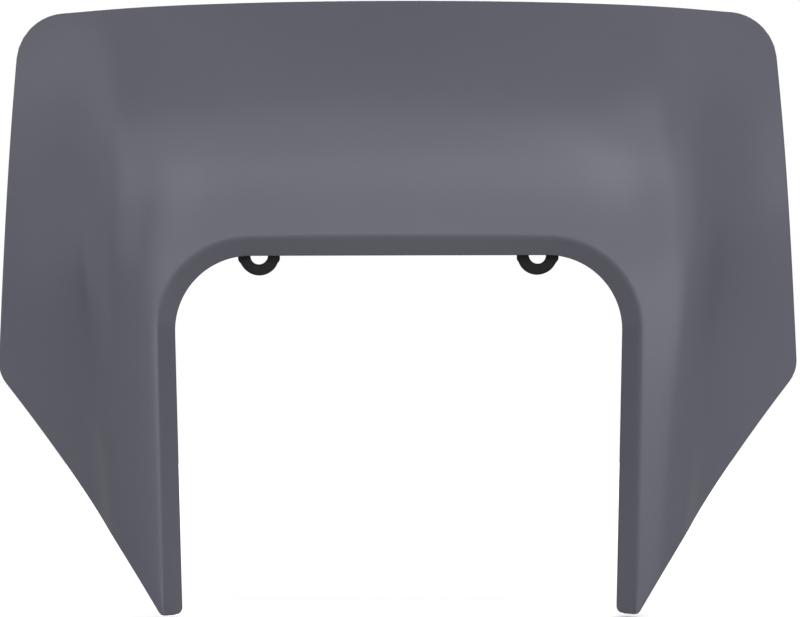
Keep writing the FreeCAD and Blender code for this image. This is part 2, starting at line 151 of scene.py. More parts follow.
form_mesh = plain_mesh("face_form", form_points, grid_faces(FORM_UP, FORM_ACROSS))
face_form = bpy.data.objects.new("face_form", form_mesh)
bpy.context.scene.collection.objects.link(face_form)
form_quads = [polygon.vertices for polygon in form_mesh.polygons]
form_tree = BVHTree.FromPolygons([vertex.co for vertex in form_mesh.vertices], form_quads)


def face_depth(x, z):
    """How far back the face lies at a place in the front view, all in millimetres."""
    hit = form_tree.ray_cast(Vector((x * MM, -1.0, z * MM)), Vector((0, 1, 0)))[0]
    return hit.y / MM


print("face form:", len(form_mesh.polygons), "quads, brow at Y =", round(face_depth(0, 10), 2), "mm")

# %% [markdown]
# Seen from the front, the moulding is a strip bent like an arch: its inner edge is the rim round
# the lamp, its outer edge the outline with soft top corners, wing corners and slanted lower sides.
# Both edges are walked in step, from the middle of the brow to the foot of a leg, so that each
# station joins one place on the rim to one place on the outline.

# %% The outline, from the middle of the top edge to the right foot
TOP_RADIUS, TOP_HALF_WIDTH, TOP_CORNER = 2700.0, 139.2, 17.5
WING_CORNER, LEG_RADIUS, LEG_HALF_WIDTH = 12.0, 760.0, 84.8
TOP_POINTS, SLANT_POINTS, CORNER_POINTS, POINT_GAP = 60, 80, 18, 0.5


def unit(vector):
    return vector / np.maximum(np.linalg.norm(vector, axis=-1, keepdims=True), 1e-9)


def corner_arc(corner, before, after, radius):
    """Round a corner between two directions that lead away from it."""
    before, after = unit(np.array(before)), unit(np.array(after))
    half = math.acos(float(before @ after)) / 2
    centre = corner + unit(before + after) * radius / math.sin(half)
    start = corner + before * radius / math.tan(half) - centre
    end = corner + after * radius / math.tan(half) - centre
    swing = math.pi - 2 * half
    shares = np.linspace(0, 1, CORNER_POINTS)[:, None]
    arc = np.sin((1 - shares) * swing) * start + np.sin(shares * swing) * end
    return centre + arc / math.sin(swing)


def bowed(start, end, radius, count):
    """Points on an arc from start to end that bows towards the lamp."""
    shares = np.linspace(0, 1, count)[:, None]
    chord = end - start
    inward = unit(np.array([chord[1], -chord[0]]))
    sagitta = (np.linalg.norm(chord) ** 2 / (8 * radius)) * 4 * shares * (1 - shares)
    return start + chord * shares + inward * sagitta


top_drop = TOP_RADIUS - math.sqrt(TOP_RADIUS ** 2 - TOP_HALF_WIDTH ** 2)
top_corner = np.array([TOP_HALF_WIDTH, TOP_HEIGHT - top_drop])
wing_corner = np.array([WING_HALF_WIDTH, -WING_DROP])
foot_corner = np.array([LEG_HALF_WIDTH, -LEG_DROP])
top_x = np.linspace(0, TOP_HALF_WIDTH, TOP_POINTS)
top_line = np.stack([top_x, TOP_HEIGHT - top_x ** 2 / (2 * TOP_RADIUS)], 1)
slant = bowed(wing_corner, foot_corner, LEG_RADIUS, SLANT_POINTS)
top_turn = corner_arc(top_corner, top_line[-2] - top_line[-1], wing_corner - top_corner, TOP_CORNER)
wing_turn = corner_arc(wing_corner, top_corner - wing_corner, slant[1] - slant[0], WING_CORNER)
top_line = top_line[top_line[:, 0] < top_turn[0, 0] - POINT_GAP]
slant = slant[slant[:, 1] < wing_turn[-1, 1] - POINT_GAP]
outline = np.concatenate([top_line, top_turn, wing_turn, slant])
outline_steps = np.linalg.norm(np.diff(outline, axis=0), axis=1)
outline_length = np.concatenate([[0], np.cumsum(outline_steps)])


def outline_key(place):
    """Length along the outline to the point nearest to a place."""
    return outline_length[np.argmin(np.linalg.norm(outline - np.array(place), axis=1))]


def outline_at(length):
    return np.stack([np.interp(length, outline_length, outline[:, k]) for k in (0, 1)], -1)


print("outline:", len(outline), "points,", round(outline_length[-1], 1), "mm on each side")

# %% The lamp opening, from the middle of the brow to the right foot
LAMP_HALF_WIDTH, LAMP_SPLAY, LAMP_TOP, LAMP_CORNER = 79.4, 1.35, -0.4, 26.5
LIP_REAR, LIP_SLOPE = -16.0, 27.0
FIRST_GROW, GROW_ROUNDS = 6.0, 5


def opening_at(part, share, grow):
    """A place on the opening's edge: part 0 under the brow, 1 round the corner, 2 down the leg."""
    top = LAMP_TOP + grow
    head = LAMP_HALF_WIDTH + grow + (top + WING_DROP) * slope(LAMP_SPLAY)
    radius = LAMP_CORNER + grow
    turn = math.radians(90 - LAMP_SPLAY)
    reach = radius / math.tan(turn / 2)
    centre = np.array([head - reach, top - radius])
    if part == 0:
        return np.array([centre[0] * share, top])
    if part == 1:
        swing = math.pi / 2 + share * (-math.radians(LAMP_SPLAY) - math.pi / 2)
        return centre + radius * np.array([math.cos(swing), math.sin(swing)])
    start = opening_at(1, 1.0, grow)
    foot_x = LAMP_HALF_WIDTH + grow + (WING_DROP - LEG_DROP) * slope(LAMP_SPLAY)
    return start + share * (np.array([foot_x, -LEG_DROP]) - start)


def rim_at(part, share):
    """Where the lip, which narrows towards its rear, comes out of the face."""
    grow = FIRST_GROW
    for _ in range(GROW_ROUNDS):
        place = opening_at(part, share, grow)
        grow = (LIP_REAR - face_depth(*place)) * slope(LIP_SLOPE)
    return opening_at(part, share, grow)


print("opening in mm, at its rear:", round(2 * opening_at(2, 0.0, 0.0)[0], 1), "wide under the corners")

# %% Stations from the middle to the foot
TOP_KEY, SIDE_KEY, LEG_KEY = (93, 91.5), (143, -12), 0.17
top_middle, wing_middle = top_turn[CORNER_POINTS // 2], wing_turn[CORNER_POINTS // 2]
leg_steps = np.append(np.linspace(LEG_KEY, 0.97, 48), np.linspace(0.975, 1, 8))
WALKS = [
    (0, np.linspace(0, 1, 27), (0, TOP_HEIGHT), TOP_KEY),
    (1, np.linspace(0, 0.5, 24), TOP_KEY, top_middle),
    (1, np.linspace(0.5, 1, 32), top_middle, SIDE_KEY),
    (2, np.linspace(0, LEG_KEY, 14), SIDE_KEY, wing_middle),
    (2, leg_steps, wing_middle, foot_corner),
]
rim, rear, outer = [], [], []
for part, shares, first, last in WALKS:
    progress = (shares - shares[0]) / (shares[-1] - shares[0])
    lengths = outline_key(first) + progress * (outline_key(last) - outline_key(first))
    for share, length in list(zip(shares, lengths))[1 if rim else 0:]:
        rim.append(rim_at(part, share))
        rear.append(opening_at(part, share, 0.0))
        outer.append(outline_at(length))


def both_sides(half):
    """From the left foot over the middle to the right foot."""
    half = np.array(half)
    return np.concatenate([(half * [-1, 1])[:0:-1], half])


rim, rear, outer = both_sides(rim), both_sides(rear), both_sides(outer)
STATIONS = len(rim)
print("stations:", STATIONS, "rim half-width at the foot:", round(rim[-1, 0], 2), "mm")

# %% [markdown]
# The strip starts as a flat pattern in front of the face, with one row of points for each line that
# runs along the arch. A Geometry Nodes tree then drapes it: a ray goes back from each point to the
# form, and the rows of the lip slide from the rim to the lip's rear edge. The lip is the narrow band
# that turns in round the lamp. Draping keeps the outline exact and the face smooth.

# %% The flat pattern
LIP_SHARES = np.array([1.0, 0.94, 0.8, 0.6, 0.4, 0.22])
RIM_ROWS, FACE_ROWS = 7, 41
RIM_CLEAR, OUTLINE_CLEAR, NARROW_SHARE, PATTERN_Y = 3.0, 1.2, 0.3, -200.0
FIRST_FACE_ROW = len(LIP_SHARES) + RIM_ROWS
ROWS = FIRST_FACE_ROW + FACE_ROWS + 1
width = np.linalg.norm(outer - rim, axis=1, keepdims=True)
near = np.minimum(RIM_CLEAR, NARROW_SHARE * width)
far = width - np.minimum(OUTLINE_CLEAR, NARROW_SHARE * width)
reach = near + (far - near) * np.linspace(0, 1, FACE_ROWS)
reach = np.concatenate([np.zeros((STATIONS, FIRST_FACE_ROW)), reach, width], 1)
flat = rim[:, None] + (outer - rim)[:, None] * (reach / width)[:, :, None]
pattern_points = np.stack([flat[..., 0], np.full((STATIONS, ROWS), PATTERN_Y), flat[..., 1]], -1) * MM
pattern_mesh = plain_mesh("mask_pattern", pattern_points, grid_faces(STATIONS, ROWS))
pattern = bpy.data.objects.new("mask_pattern", pattern_mesh)
bpy.context.scene.collection.objects.link(pattern)

lip_share = np.zeros((STATIONS, ROWS))
lip_share[:, :len(LIP_SHARES)] = LIP_SHARES
lip_rear = np.zeros((STATIONS, ROWS, 3))
lip_rear[..., 0], lip_rear[..., 1], lip_rear[..., 2] = rear[:, None, 0], LIP_REAR, rear[:, None, 1]
share_attribute = pattern_mesh.attributes.new("lip_share", "FLOAT", "POINT")
share_attribute.data.foreach_set("value", lip_share.ravel())
rear_attribute = pattern_mesh.attributes.new("lip_rear", "FLOAT_VECTOR", "POINT")
rear_attribute.data.foreach_set("vector", (lip_rear * MM).ravel())
print("pattern:", STATIONS, "stations by", ROWS, "rows")


# %% Helpers for Geometry Nodes trees
def new_tree(name, inputs):
    """An empty Geometry Nodes tree with a geometry in, a geometry out and the named inputs."""
    tree = bpy.data.node_groups.new(name, "GeometryNodeTree")
    tree.interface.new_socket("Geometry", in_out="INPUT", socket_type="NodeSocketGeometry")
    for title, kind in inputs:
        tree.interface.new_socket(title, in_out="INPUT", socket_type=kind)
    tree.interface.new_socket("Geometry", in_out="OUTPUT", socket_type="NodeSocketGeometry")
    return tree, tree.nodes.new("NodeGroupInput"), tree.nodes.new("NodeGroupOutput")


def finish_tree(tree, start, end, geometry):
    """Realise what was made, give it its material and send it out."""
    realise = tree.nodes.new("GeometryNodeRealizeInstances")
    paint = tree.nodes.new("GeometryNodeSetMaterial")
    tree.links.new(geometry, realise.inputs["Geometry"])
    tree.links.new(realise.outputs["Geometry"], paint.inputs["Geometry"])
    tree.links.new(start.outputs["Finish"], paint.inputs["Material"])
    tree.links.new(paint.outputs["Geometry"], end.inputs["Geometry"])


def run_tree(piece, tree, values):
    """Apply a tree to a piece and return the result as a plain mesh."""
    modifier = piece.modifiers.new(tree.name, "NODES")
    modifier.node_group = tree
    for item in tree.interface.items_tree:
        if item.in_out == "INPUT" and item.name in values:
            modifier[item.identifier] = values[item.name]
    shown = piece.evaluated_get(bpy.context.evaluated_depsgraph_get())
    mesh = bpy.data.meshes.new_from_object(shown)
    piece.modifiers.remove(modifier)
    return mesh


mask_plastic = bpy.data.materials.new("mask_plastic")
grommet_rubber = bpy.data.materials.new("grommet_rubber")
print("materials to fill in later:", mask_plastic.name, "and", grommet_rubber.name)

# %% Drape the pattern on the form
# Places of a Mix node's sockets: the share, two vectors and the blended vector.
MIX_SHARE, VECTOR_A, VECTOR_B, VECTOR_OUT = 0, 4, 5, 1
drape_inputs = [
    ("Form", "NodeSocketObject"), ("Reach", "NodeSocketFloat"), ("Finish", "NodeSocketMaterial"),
]
drape, start, end = new_tree("drape_on_face", drape_inputs)
form_info = drape.nodes.new("GeometryNodeObjectInfo")
ray = drape.nodes.new("GeometryNodeRaycast")
ray.inputs["Ray Direction"].default_value = (0, 1, 0)
share_in = drape.nodes.new("GeometryNodeInputNamedAttribute")
share_in.data_type = "FLOAT"
share_in.inputs["Name"].default_value = "lip_share"
rear_in = drape.nodes.new("GeometryNodeInputNamedAttribute")
rear_in.data_type = "FLOAT_VECTOR"
rear_in.inputs["Name"].default_value = "lip_rear"
slide = drape.nodes.new("ShaderNodeMix")
slide.data_type = "VECTOR"
place = drape.nodes.new("GeometryNodeSetPosition")
drape.links.new(start.outputs["Form"], form_info.inputs["Object"])
drape.links.new(form_info.outputs["Geometry"], ray.inputs["Target Geometry"])
drape.links.new(start.outputs["Reach"], ray.inputs["Ray Length"])
drape.links.new(share_in.outputs["Attribute"], slide.inputs[MIX_SHARE])
drape.links.new(ray.outputs["Hit Position"], slide.inputs[VECTOR_A])
drape.links.new(rear_in.outputs["Attribute"], slide.inputs[VECTOR_B])
drape.links.new(start.outputs["Geometry"], place.inputs["Geometry"])
drape.links.new(slide.outputs[VECTOR_OUT], place.inputs["Position"])
finish_tree(drape, start, end, place.outputs["Geometry"])

draped = run_tree(pattern, drape, {"Form": face_form, "Reach": 1.0, "Finish": mask_plastic})
sheet = np.zeros(len(draped.vertices) * 3)
draped.vertices.foreach_get("co", sheet)
sheet = sheet.reshape(STATIONS, ROWS, 3) / MM
for spare in (pattern, face_form):
    bpy.data.objects.remove(spare)
depths = sheet[..., 1]
print("draped sheet, depth in mm:", round(depths.min(), 2), "to", round(depths.max(), 2))

# %% [markdown]
# A moulding has no sharp edges. The rim where the face turns into the lip gets a soft bend, and the
# inner lower corner of each leg is rounded off. Both are small moves of whole rows of the sheet,
# which is steadier here than a bevel, because the legs run out thin.

# %% Soften the rim and the feet
RIM_BEND, FOOT_ROUND, BEND_SHARE = 1.6, 2.5, 0.6
rim_line = sheet[:, len(LIP_SHARES)].copy()
above_foot = np.clip(rim_line[:, 2] + LEG_DROP, 0, FOOT_ROUND)
pull = FOOT_ROUND - np.sqrt(FOOT_ROUND ** 2 - (FOOT_ROUND - above_foot) ** 2)
lip_span = np.linalg.norm(rear - rim, axis=1)
for row in range(len(LIP_SHARES)):
    sheet[:, row] = rim_line + (sheet[:, row] - rim_line) * (1 - pull / lip_span)[:, None]

to_face = sheet[:, FIRST_FACE_ROW] - rim_line
to_lip = sheet[:, len(LIP_SHARES) - 1] - rim_line
bend = np.minimum(RIM_BEND, BEND_SHARE * np.linalg.norm(to_face, axis=1))[:, None]
face_way, lip_way = unit(to_face), unit(to_lip)
for k, t in enumerate(np.linspace(0, 1, RIM_ROWS)):
    bow = (1 - t) ** 2 * lip_way + t ** 2 * face_way
    sheet[:, len(LIP_SHARES) + k] = rim_line + bow * bend
middle_bend, foot_bend = bend[STATIONS // 2, 0], bend[0, 0]
print("rim bend in mm: middle", round(float(middle_bend), 2), "foot", round(float(foot_bend), 2))

# %% [markdown]
# The sheet becomes a wall by giving each point a partner behind it, square to the surface. Where the
# face turns into the lip, the two walls meet in one inner corner, and the lip's rear end is cut flat.
# A Solidify modifier would do the rest, but not these two places.

# %% Give the sheet its wall
FACE_WALL, LIP_WALL, BEND_WALL = 2.8, 2.4, 2.7
OUTER_ROW, FULL_BEND = -5, 0.9
REAR_MARGINS, LEAST_LIP_WAY = (0.0, 0.5), 0.2
along, across = np.gradient(sheet, axis=0), np.gradient(sheet, axis=1)
behind = unit(np.cross(along, across))
if behind[STATIONS // 2, OUTER_ROW, 1] < 0:
    behind = -behind
wall = np.full(ROWS, FACE_WALL)
wall[:len(LIP_SHARES)] = LIP_WALL
wall[len(LIP_SHARES):FIRST_FACE_ROW] = np.linspace(LIP_WALL, BEND_WALL, RIM_ROWS)
back = sheet + behind * wall[None, :, None]

half_turn = np.arccos(np.clip((face_way * lip_way).sum(1), -1, 1)) / 2
mitre = rim_line + unit(face_way + lip_way) * (LIP_WALL / np.sin(half_turn))[:, None]
limit = LIP_WALL / np.tan(half_turn)
for row in range(ROWS):
    way = lip_way if row < len(LIP_SHARES) else face_way
    crossed = ((back[:, row] - rim_line) * way).sum(1) < limit
    if len(LIP_SHARES) <= row < FIRST_FACE_ROW:
        crossed = bend[:, 0] < FULL_BEND * RIM_BEND
    back[crossed, row] = mitre[crossed]
for row, margin in enumerate(REAR_MARGINS):
    past_rear = (back[:, row, 1] - LIP_REAR + margin) / np.maximum(lip_way[:, 1], LEAST_LIP_WAY)
    back[:, row] -= lip_way * np.maximum(past_rear, 0)[:, None]
print("wall in mm:", FACE_WALL, "face,", LIP_WALL, "lip")

# %% [markdown]
# A mould leaves the free edges round: the outline, the lip's rear edge and the ends of the legs. A
# Bevel modifier stumbles where a leg runs out thin, so the edges get rows of points on a small arc, the
# feet a slightly smaller end, and the legs' outer corners are drawn in to an arc.

# %% Round the free edges
EDGE_ROUND, EDGE_STEPS = 0.7, 5


def rounded_corner(corner, one, other, radius):
    """Rows of points that turn from one neighbour to the other round a corner row."""
    steps = np.linspace(0, 1, EDGE_STEPS)
    first, second = one - corner, other - corner
    room = np.minimum(np.linalg.norm(first, axis=1), np.linalg.norm(second, axis=1))
    size = np.minimum(radius, 0.5 * room)
    first, second = unit(first) * size[:, None], unit(second) * size[:, None]
    return np.stack([corner + (1 - t) ** 2 * first + t ** 2 * second for t in steps], 1)


def chain(side, other):
    """One side of the wall with its two free edges rounded, from the lip's rear to the outline."""
    lip_edge = rounded_corner(side[:, 0], other[:, 0], side[:, 1], EDGE_ROUND)
    outline_edge = rounded_corner(side[:, -1], side[:, -2], other[:, -1], EDGE_ROUND)
    return np.concatenate([lip_edge, side[:, 1:-1], outline_edge], 1)


front_chain, back_chain = chain(sheet, back), chain(back, sheet)
print("wall with rounded edges:", front_chain.shape[1], "rows on each side")

# %% Close the feet
FOOT_EDGE = 0.12
FOOT_PROFILE = [(0.0, 1.0), (0.25, 0.3), (1.0, 0.0)]


def foot_end(front_end, back_end):
    """Three sections that close a foot: shrunk at the end, full a little above it."""
    across_wall = back_end - front_end
    inward = across_wall / np.maximum(np.linalg.norm(across_wall, axis=1, keepdims=True), 1e-6)
    sections = []
    for lift, inset in FOOT_PROFILE:
        shift = np.array([0, 0, lift * FOOT_EDGE])
        shrink = inward * inset * FOOT_EDGE
        sections.append((front_end + shift + shrink, back_end + shift - shrink))
    return [np.stack(side) for side in zip(*sections)]


left_front, left_back = foot_end(front_chain[0], back_chain[0])
right_front, right_back = foot_end(front_chain[-1], back_chain[-1])
front_chain = np.concatenate([left_front, front_chain[1:-1], right_front[::-1]])
back_chain = np.concatenate([left_back, back_chain[1:-1], right_back[::-1]])
print("feet closed:", len(FOOT_PROFILE), "sections at each end")

# %% Round the outer corner of each leg's end
TIP_ROUND, TIP_DEPTH = 3.1, 1.2
above_tip = slant[-6]
edge_way, down = unit(above_tip - foot_corner), np.array([0.0, -1.0])
edge_out = np.array([edge_way[1], -edge_way[0]])
tip_centre = foot_corner - np.linalg.solve(np.stack([edge_out, down]), [TIP_ROUND, TIP_ROUND])


def cross(first, second):
    """Positive where the second direction lies to the left of the first."""
    return first[..., 0] * second[..., 1] - first[..., 1] * second[..., 0]


def rounded_tips(points):
    """Draw the points near a leg's outer lower corner in, so that the corner follows an arc."""
    away = np.stack([np.abs(points[..., 0]), points[..., 2]], -1) - tip_centre
    far, way = np.linalg.norm(away, axis=-1), unit(away)
    edge = TIP_ROUND / np.maximum(np.maximum(way @ edge_out, way @ down), 1e-6)
    start = TIP_ROUND - TIP_DEPTH
    drawn = start + (far - start) * TIP_DEPTH / (edge - start)
    near = (cross(edge_out, way) <= 0) & (cross(way, down) <= 0) & (far > start)
    place = tip_centre + way * np.where(near, drawn, far)[..., None]
    return np.stack([np.sign(points[..., 0]) * place[..., 0], points[..., 1], place[..., 1]], -1)


ring = rounded_tips(np.concatenate([front_chain, back_chain[:, ::-1]], 1))
print("leg ends: arc of", TIP_ROUND, "mm round X, Z =", [round(float(c), 1) for c in tip_centre])

# %% Join the points to faces
sections, around = ring.shape[:2]
faces = []
for first in range(0, (sections - 1) * around, around):
    for k in range(around):
        after = (k + 1) % around
        faces.append((first + k, first + after, first + around + after, first + around + k))
for first in (0, (sections - 1) * around):
    for k in range(around // 2 - 1):
        mirror = around - 1 - k
        faces.append((first + k, first + k + 1, first + mirror - 1, first + mirror))
print("moulding:", sections, "sections of", around, "points")

# %% [markdown]
# The free edges, the outline and the back of the lip, get a thin dark line of painted shade,
# which is a little wider at the lip. The mesh carries it as a number on its points, so that the
# finish can read it from any side.

# %% Mark the edges for painted shade
# Painted shade: how dark each row round a free edge is painted, from the edge inward; the lip's front band
# is wider.
EDGE_SHADE, LIP_SHADE = [1.0, 1.0, 0.9, 0.6, 0.0], [1.0, 0.9, 0.25]
shade = np.zeros(around)
half_ring = around // 2
for offset in (0, half_ring):
    shade[offset:offset + EDGE_STEPS] = EDGE_SHADE
    shade[offset + half_ring - EDGE_STEPS:offset + half_ring] = EDGE_SHADE[::-1]
shade[EDGE_STEPS - 2:EDGE_STEPS - 2 + len(LIP_SHADE)] = LIP_SHADE
print("dark rows:", int((shade > 0).sum()), "of", around)

# %% The moulding as a closed mesh
MERGE, SLIVER, CM3 = 5e-6, 2e-6, 1e-6
moulding = bmesh.new()
shade_layer = moulding.verts.layers.float.new("edge_shade")
for point, mark in zip(ring.reshape(-1, 3) * MM, np.tile(shade, sections)):
    moulding.verts.new(point)[shade_layer] = mark
moulding.verts.ensure_lookup_table()
for face in faces:
    moulding.faces.new([moulding.verts[k] for k in face])
bmesh.ops.remove_doubles(moulding, verts=moulding.verts, dist=MERGE)
bmesh.ops.dissolve_degenerate(moulding, edges=moulding.edges, dist=SLIVER)
bmesh.ops.recalc_face_normals(moulding, faces=moulding.faces)
open_edges = sum(1 for edge in moulding.edges if len(edge.link_faces) != 2)
print("moulding:", len(moulding.faces), "faces,", open_edges, "open edges")
print("volume in cm3:", round(moulding.calc_volume() / CM3, 1))

# %% [markdown]
# Behind the brow, two lugs carry the mask: a plate with an eye for the grommet, tied to the brow by
# two ribs. They are the same on both sides, so one lug is made and Geometry Nodes set it at both
# eyes, half the spacing to each side.

# %% One lug at the middle
EYE_SPACING, LUG_HALF, LUG_HEIGHT = 100.0, 6.5, 25.0
LUG_FRONT, LUG_REAR, EYE_RADIUS = -7.0, -3.0, 4.9
RIB, RIB_FOOT, RIB_SINK, RIB_STEPS = 2.4, 8.1, 2.0, 9
LUG_SOFT, TURNS = 0.3, 72


def lug_reach(angle):
    """Distance from the eye's axis to the plate's edge, round below and straight above."""
    side, up = math.cos(angle), math.sin(angle)
    if up <= 0:
        return LUG_HALF
    return min(LUG_HALF / max(abs(side), 1e-9), LUG_HEIGHT / up)


def inset(reach, amount):
    """The same rule of reach by angle, drawn in by an amount."""
    return lambda angle: reach(angle) - amount


def ring_points(reach, y, centre=(0.0, 0.0)):
    """A closed loop of points round an axis along Y; reach is a length or a rule by angle."""
    loop = []
    for k in range(TURNS):
        angle = 2 * math.pi * k / TURNS
        r = reach(angle) if callable(reach) else reach
        loop.append((centre[0] + r * math.cos(angle), y, centre[1] + r * math.sin(angle)))
    return loop


def turned_body(mesh, loops):
    """Join loops of equal count into one closed ring-shaped body."""
    verts = [[mesh.verts.new(Vector(p) * MM) for p in loop] for loop in loops]
    for here, after in zip(verts, verts[1:] + verts[:1]):
        for k in range(TURNS):
            mesh.faces.new((here[k], here[(k + 1) % TURNS], after[(k + 1) % TURNS], after[k]))


lug = bmesh.new()
lug_plan = [
    (EYE_RADIUS, LUG_FRONT + LUG_SOFT), (EYE_RADIUS + LUG_SOFT, LUG_FRONT),
    (inset(lug_reach, LUG_SOFT), LUG_FRONT), (lug_reach, LUG_FRONT + LUG_SOFT),
    (lug_reach, LUG_REAR - LUG_SOFT), (inset(lug_reach, LUG_SOFT), LUG_REAR),
    (EYE_RADIUS + LUG_SOFT, LUG_REAR), (EYE_RADIUS, LUG_REAR - LUG_SOFT),
]
turned_body(lug, [ring_points(reach, y) for reach, y in lug_plan])
print("plate:", len(lug.faces), "faces")

# %% Its two ribs
for side in (-1, 1):
    inner, edge, rear_y = side * (LUG_HALF - RIB), side * LUG_HALF, LUG_FRONT + RIB_SINK
    columns = []
    for z in np.linspace(RIB_FOOT, LUG_HEIGHT, RIB_STEPS):
        front = face_depth(EYE_SPACING / 2 + side * LUG_HALF, z) + FACE_WALL / 2
        corners = [(inner, front, z), (edge, front, z), (edge, rear_y, z), (inner, rear_y, z)]
        columns.append([lug.verts.new(Vector(corner) * MM) for corner in corners])
    for low, high in zip(columns, columns[1:]):
        for k in range(4):
            lug.faces.new((low[k], low[(k + 1) % 4], high[(k + 1) % 4], high[k]))
    lug.faces.new(columns[0])
    lug.faces.new(columns[-1])
bmesh.ops.recalc_face_normals(lug, faces=lug.faces)
lug_mesh = bpy.data.meshes.new("eye_lug")
lug.to_mesh(lug_mesh)
lug_piece = bpy.data.objects.new("eye_lug", lug_mesh)
bpy.context.scene.collection.objects.link(lug_piece)
print("lug:", len(lug_mesh.polygons), "faces")

# %% Set the lug at both eyes
pair, start, end = new_tree("lug_pair", [("Spacing", "NodeSocketFloat"), ("Finish", "NodeSocketMaterial")])
line = pair.nodes.new("GeometryNodeMeshLine")
line.mode = "END_POINTS"
line.inputs["Count"].default_value = 2
spread = [pair.nodes.new("ShaderNodeMath") for _ in range(2)]
ends = [pair.nodes.new("ShaderNodeCombineXYZ") for _ in range(2)]
for math_node, join, factor, socket in zip(spread, ends, (-0.5, 0.5), ("Start Location", "Offset")):
    math_node.operation = "MULTIPLY"
    math_node.inputs[1].default_value = factor
    pair.links.new(start.outputs["Spacing"], math_node.inputs[0])
    pair.links.new(math_node.outputs[0], join.inputs["X"])
    pair.links.new(join.outputs["Vector"], line.inputs[socket])
copies = pair.nodes.new("GeometryNodeInstanceOnPoints")
pair.links.new(line.outputs["Mesh"], copies.inputs["Points"])
pair.links.new(start.outputs["Geometry"], copies.inputs["Instance"])
finish_tree(pair, start, end, copies.outputs["Instances"])
lugs = run_tree(lug_piece, pair, {"Spacing": EYE_SPACING * MM, "Finish": mask_plastic})
bpy.data.objects.remove(lug_piece)
lugs_left = min(vertex.co.x for vertex in lugs.vertices)
print("lugs:", len(lugs.polygons), "faces, from X =", round(lugs_left / MM, 1), "mm")

# %% The finished moulding
SHARP_TURN = math.radians(42)


def finished_piece(name, mesh, material, node):
    """A piece at the origin that stands for one CAD node."""
    mesh.materials.clear()
    mesh.materials.append(material)
    mesh.polygons.foreach_set("use_smooth", [True] * len(mesh.polygons))
    mesh.set_sharp_from_angle(angle=SHARP_TURN)
    piece = bpy.data.objects.new(name, mesh)
    bpy.context.scene.collection.objects.link(piece)
    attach(piece, "root")
    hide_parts(node)
    return piece


moulding.from_mesh(lugs)
mask_mesh = bpy.data.meshes.new("mask_moulding")
moulding.to_mesh(mask_mesh)
finished_piece("mask_moulding", mask_mesh, mask_plastic, "mask_shell")
print("mask moulding:", len(mask_mesh.polygons), "faces")

# %% [markdown]
# Each grommet is a rubber bush: two flanges with a neck between them that sits in the lug's eye, and
# a bore for the screw. The front flange has square shoulders beside the bore, cut off at a slant below.
# All its sections are loops round one axis, so it is turned from a list of loops, with soft corners
# between them.

# %% The grommets
BORE, NECK, FLANGE, BUSH_LENGTH, FLANGE_THICK = 3.2, 4.8, 7.1, 10.0, 2.9
SHOULDER_HALF, TAPER_REACH, TAPER_TURN = 7.5, 6.97, math.radians(37.7)
RUBBER_SOFT, ROUND_STEP, NECK_SOFT, BORE_SOFT = 0.5, 0.15, 0.2, 0.3


def shoulder_reach(angle):
    """Front flange: a disc below, square shoulders above, their lower corners cut off at a slant."""
    side, up = max(abs(math.cos(angle)), 1e-9), math.sin(angle)
    if up > 0:
        return max(min(SHOULDER_HALF / side, FLANGE / up), FLANGE)
    if -up > side:
        return FLANGE
    taper = TAPER_REACH / math.cos(math.atan2(-up, side) - TAPER_TURN)
    return max(min(SHOULDER_HALF / side, taper), FLANGE)


def grommet(name, side, node):
    """Turn one rubber bush round its own eye; side is -1 on the left and 1 on the right."""
    bush = bmesh.new()
    front, rear = -BUSH_LENGTH, 0.0
    centre = (side * EYE_SPACING / 2, 0.0)
    flange_back, flange_front = front + FLANGE_THICK, rear - FLANGE_THICK
    plan = [
        (BORE, front + BORE_SOFT), (BORE + BORE_SOFT, front),
        (inset(shoulder_reach, RUBBER_SOFT), front),
        (inset(shoulder_reach, ROUND_STEP), front + ROUND_STEP),
        (shoulder_reach, front + RUBBER_SOFT), (shoulder_reach, flange_back - NECK_SOFT),
        (inset(shoulder_reach, NECK_SOFT), flange_back), (NECK, flange_back),
        (NECK, flange_front), (FLANGE - NECK_SOFT, flange_front), (FLANGE, flange_front + NECK_SOFT),
        (FLANGE, rear - RUBBER_SOFT), (FLANGE - ROUND_STEP, rear - ROUND_STEP),
        (FLANGE - RUBBER_SOFT, rear), (BORE + BORE_SOFT, rear), (BORE, rear - BORE_SOFT),
    ]
    turned_body(bush, [ring_points(reach, y, centre) for reach, y in plan])
    bmesh.ops.recalc_face_normals(bush, faces=bush.faces)
    mesh = bpy.data.meshes.new(name)
    bush.to_mesh(mesh)
    print(name, len(mesh.polygons), "faces, volume in cm3:", round(bush.calc_volume() / CM3, 2))
    return finished_piece(name, mesh, grommet_rubber, node)


grommet("left_grommet", -1, "left_rubber_grommet")
grommet("right_grommet", 1, "right_rubber_grommet")

# %% [markdown]
# The mask is dyed grey plastic with a fine moulded grain, half matt, a little bluish. The colour
# drifts slowly over the surface, the roughness a little faster, and the grain is a fine bump. All of it
# is noise on the object's own coordinates, which needs no image and no unwrapping. The first cell holds
# the steps that each finish shares.

# %% Steps for every finish
# Places of a Mix node's sockets for colours: two to blend, and the result.
COLOUR_A, COLOUR_B, COLOUR_OUT = 6, 7, 2
SPAN_LOW, SPAN_HIGH, BUMP_HEIGHT = 0.3, 0.7, 0.2 * MM


def shader(material):
    """Empty a material and give it one surface; returns that and the object's own coordinates."""
    material.use_nodes = True
    nodes, links = material.node_tree.nodes, material.node_tree.links
    nodes.clear()
    out = nodes.new("ShaderNodeOutputMaterial")
    surface = nodes.new("ShaderNodeBsdfPrincipled")
    links.new(surface.outputs["BSDF"], out.inputs["Surface"])
    coords = nodes.new("ShaderNodeTexCoord")
    return nodes, links, surface, coords.outputs["Object"]


def noise(nodes, links, coords, scale, detail):
    texture = nodes.new("ShaderNodeTexNoise")
    texture.inputs["Scale"].default_value = scale
    texture.inputs["Detail"].default_value = detail
    links.new(coords, texture.inputs["Vector"])
    return texture.outputs["Fac"]


